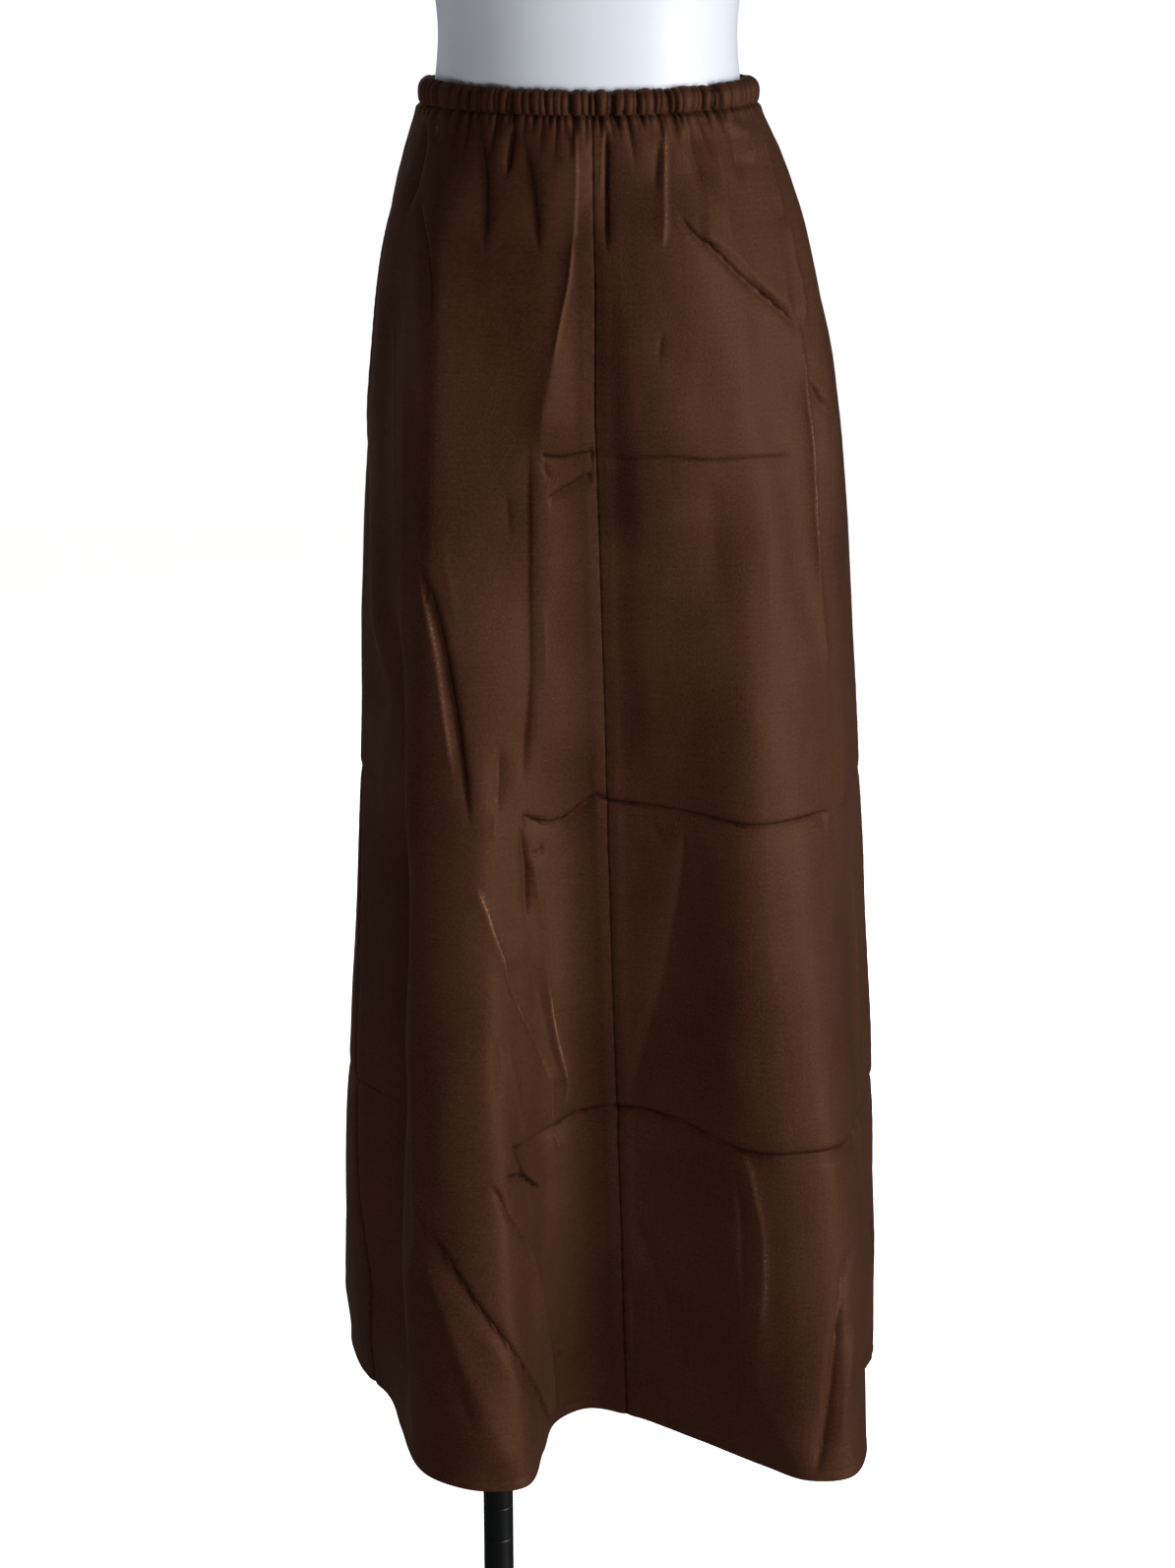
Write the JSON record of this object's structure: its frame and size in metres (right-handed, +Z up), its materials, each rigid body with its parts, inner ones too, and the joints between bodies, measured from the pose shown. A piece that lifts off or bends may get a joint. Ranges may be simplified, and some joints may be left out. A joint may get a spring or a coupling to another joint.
{
  "type": "maxi skirt on a dress form",
  "caption": "Long A-line satin skirt with a gathered elastic waist, worn by a limbless dress form on a pole with a round base.",
  "frame": {"origin": "centre of the base plate's underside, on the floor", "axes": "+Z up, -Y out of the skirt's front, +X to the right of someone who faces the front"},
  "size_m": [0.4365, 0.4256, 1.816],
  "materials": {
    "satin": "satin",
    "form_skin": "satin",
    "black_metal": "satin"
  },
  "bodies": {
    "root": {"waistband": "satin", "front_panel_right": "satin", "back_panel": "satin", "front_panel_left": "satin", "dress_form": "form_skin", "pole": "black_metal", "base_plate": "black_metal"}
  },
  "joints": []
}
